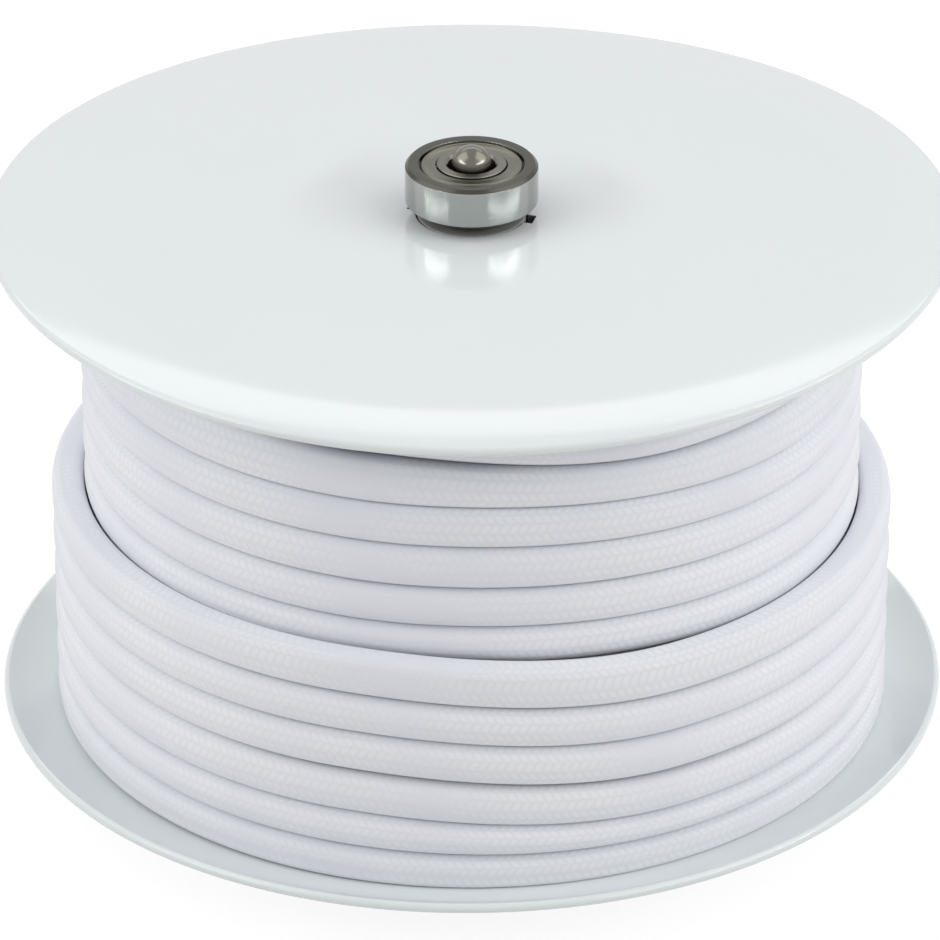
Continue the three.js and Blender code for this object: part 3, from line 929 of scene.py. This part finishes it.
def deeper_layers(material):
    """The layers under the last pass, their turns showing as ribs round the outside."""
    low, high = span("cord_underlay")
    inside = CORE_RADIUS + FIT
    inner = INNER_LAYER_RADIUS - CORD_HALF_THICKNESS - FIT
    outer = OUTER_LAYER_RADIUS - CORD_HALF_THICKNESS - FIT
    step = LOWER_EDGE[INNER_TURNS - 1] - UNDERLAY_STEP
    obj = revolved("cord_deeper_layers", [
        (inside, low),
        *ribs(outer, low, step),
        *ribs(inner, step + UNDERLAY_GAP, high),
        (inside, high),
    ], SMOOTH)
    layer = obj.data.uv_layers.new(name="braid")
    for loop in obj.data.loops:
        x, y, z = obj.data.vertices[loop.vertex_index].co / MM
        around = math.atan2(y, x) * UNDERLAY_MAP_RADIUS
        layer.data[loop.index].uv = (around, z + math.hypot(x, y))
    return dress(obj, "reel", "cord", material, "cord_underlay")


# --- studio --------------------------------------------------------------------------------------

WHITE = (1, 1, 1, 1)
FLOOR_SIZE = 6.0  # in metres
FLOOR_GLOW = 0.88
FLOOR_SHADE = (0.2, 0.2, 0.2, 1)  # what it adds to the glow where lamps reach it
LAMP_TARGET = Vector((0, 0, 0.06))  # in metres


def shows_background(tree):
    """1 for rays that should see the background: from the camera, or through gloss or glass."""
    path = tree.nodes.new("ShaderNodeLightPath")
    seen = path.outputs["Is Camera Ray"]
    for kind in ("Is Glossy Ray", "Is Transmission Ray"):
        either = tree.nodes.new("ShaderNodeMath")
        either.operation = "MAXIMUM"
        tree.links.new(seen, either.inputs[0])
        tree.links.new(path.outputs[kind], either.inputs[1])
        seen = either.outputs[0]
    return seen


def floor():
    """A floor that looks as white as the background and still takes the reel's shadow."""
    bm = bmesh.new()
    bmesh.ops.create_grid(bm, x_segments=8, y_segments=8, size=FLOOR_SIZE)
    obj = new_object("floor", bm)
    nodes = Nodes("pale_floor", (0.8, 0.8, 0.8), 0.9)
    glow = nodes.add("ShaderNodeEmission")
    glow.inputs["Strength"].default_value = FLOOR_GLOW
    soft = nodes.add("ShaderNodeBsdfDiffuse")
    soft.inputs["Color"].default_value = FLOOR_SHADE
    both = nodes.add("ShaderNodeAddShader")
    nodes.link(glow.outputs[0], both.inputs[0])
    nodes.link(soft.outputs[0], both.inputs[1])
    choose = nodes.add("ShaderNodeMixShader")
    nodes.link(shows_background(nodes.tree), choose.inputs[0])
    nodes.link(nodes.shader.outputs[0], choose.inputs[1])
    nodes.link(both.outputs[0], choose.inputs[2])
    output = nodes.tree.nodes["Material Output"]
    nodes.link(choose.outputs[0], output.inputs["Surface"])
    obj.data.materials.append(nodes.material)


def world(strength):
    """A white background that lights the reel with a strength of its own."""
    scene_world = bpy.data.worlds.new("studio")
    bpy.context.scene.world = scene_world
    scene_world.use_nodes = True
    tree = scene_world.node_tree
    background = tree.nodes["Background"]
    background.inputs["Color"].default_value = WHITE
    level = tree.nodes.new("ShaderNodeMapRange")
    level.inputs["To Min"].default_value = strength
    level.inputs["To Max"].default_value = 1.0
    tree.links.new(shows_background(tree), level.inputs["Value"])
    tree.links.new(level.outputs["Result"], background.inputs["Strength"])


def softbox(name, bearing, elevation, distance, size, power):
    """A rectangular lamp that faces the reel. Its bearing, in degrees, is from the camera's side,
    and its distance and size are in metres."""
    turn, tilt = math.radians(bearing), math.radians(elevation)
    direction = Vector((
        math.sin(turn) * math.cos(tilt),
        -math.cos(turn) * math.cos(tilt),
        math.sin(tilt),
    ))
    lamp = bpy.data.lights.new(name, "AREA")
    lamp.shape = "RECTANGLE"
    lamp.size, lamp.size_y = size
    lamp.energy = power
    obj = bpy.data.objects.new(name, lamp)
    obj.location = LAMP_TARGET + direction * distance
    obj.rotation_euler = direction.to_track_quat("Z", "Y").to_euler()
    bpy.context.scene.collection.objects.link(obj)


CAMERA_DISTANCE = 1063.2
CAMERA_ELEVATION = math.radians(28.233)
CAMERA_TARGET = Vector((-0.27, 0, 50.46))
CAMERA_LENS = 241.3
CAMERA_SENSOR = 36


def camera():
    data = bpy.data.cameras.new("camera")
    data.sensor_width = CAMERA_SENSOR
    data.lens = CAMERA_LENS
    data.clip_start, data.clip_end = 0.05, 50
    obj = bpy.data.objects.new("camera", data)
    back = Vector((0, -math.cos(CAMERA_ELEVATION), math.sin(CAMERA_ELEVATION)))
    obj.location = (CAMERA_TARGET + back * CAMERA_DISTANCE) * MM
    obj.rotation_mode = "QUATERNION"
    obj.rotation_quaternion = back.to_track_quat("Z", "Y")
    bpy.context.scene.collection.objects.link(obj)
    bpy.context.scene.camera = obj


# --- the whole -----------------------------------------------------------------------------------

camera()

white = flange_material()
# Dark matt colour for the flanges' bore and notch walls: painted shade.
painted_notch_shade = matt_plastic("painted_notch_shade", (0.10, 0.10, 0.095), (0.14, 0.14, 0.13), 0.6, grain=1500)
hub_grey = matt_plastic(
    "satin_grey", (0.28, 0.295, 0.28), (0.34, 0.355, 0.34), 0.45, grain=1500
)
nylon = matt_plastic("natural_nylon", (0.60, 0.57, 0.50), (0.70, 0.67, 0.60), 0.5, grain=2500)
ring_steel = turned_steel(
    "ground_steel", (0.36, 0.375, 0.36), (0.42, 0.435, 0.42), 0.12, 0.2
)
# Far darker than steel's own colour, for the rings' flat faces: a painted dark reflection.
face_steel = turned_steel(
    "ground_steel_painted_dark", (0.052, 0.051, 0.044), (0.085, 0.083, 0.073), 0.2, 0.3
)
ball_steel = turned_steel(
    "polished_steel", (0.60, 0.60, 0.60), (0.68, 0.68, 0.68), 0.05, 0.08, bump=0.02
)
# Far darker than steel's own colour, for the shields: a painted dark reflection.
shield_steel = turned_steel(
    "pressed_steel_painted_dark", (0.11, 0.108, 0.086), (0.16, 0.156, 0.128), 0.22, 0.34
)
# Far darker than steel's own colour, for the axle, inner rings and spacers: painted dark
# reflection.
axle_steel = turned_steel(
    "steel_painted_dark", (0.135, 0.13, 0.112), (0.185, 0.178, 0.156), 0.18, 0.28
)
braid = cord_material()

lower_disc = flange(
    "lower_flange_disc", FLANGE_BOTTOM, False, LOWER_RIM_TURN, "bottom_flange", white, painted_notch_shade
)
warp(lower_disc, lift=0.0, lean=0.5, wave=-0.2)
upper_disc = flange(
    "upper_flange_disc", FLANGE_TOP, True, UPPER_RIM_TURN, "top_flange", white, painted_notch_shade
)
warp(upper_disc, lift=0.3, lean=0.0, wave=1.0)
hub("lower_hub_moulding", INNER_BOTTOM, False, "bottom_hub", hub_grey)
hub("upper_hub_moulding", INNER_TOP, True, "top_hub", hub_grey)
core_tube(board_material())
axle(axle_steel)
spacer("lower_spacer_washer", "bottom_spacer", axle_steel)
spacer("upper_spacer_washer", "top_spacer", axle_steel)
for end_name in ("bottom", "top"):
    base_height = span(f"{end_name}_outer_ring")[0]
    outer_ring(end_name, base_height, ring_steel, face_steel)
    inner_ring(end_name, base_height, axle_steel)
    for side_name in ("above", "below"):
        shield(end_name, side_name, base_height, shield_steel)
    cage(end_name, base_height, nylon)
    balls(end_name, base_height, ball_steel)
deeper_layers(braid)
winding(braid)

floor()
world(strength=0.28)
# name, bearing, elevation, distance, size and power
for lamp_row in (
    ("strip_left", -64, 28.5, 0.95, (0.72, 0.085), 1.9),
    ("strip_right", 59, 28.5, 0.95, (0.95, 0.085), 2.55),
    ("softbox_left", -88, 45, 1.0, (0.9, 0.9), 3.6),
    ("softbox_right", 88, 45, 1.0, (0.9, 0.9), 3.6),
    ("softbox_behind", 180, 43, 1.5, (2.0, 0.28), 2.9),
):
    softbox(*lamp_row)

view = bpy.context.scene.view_settings
view.view_transform = "Standard"
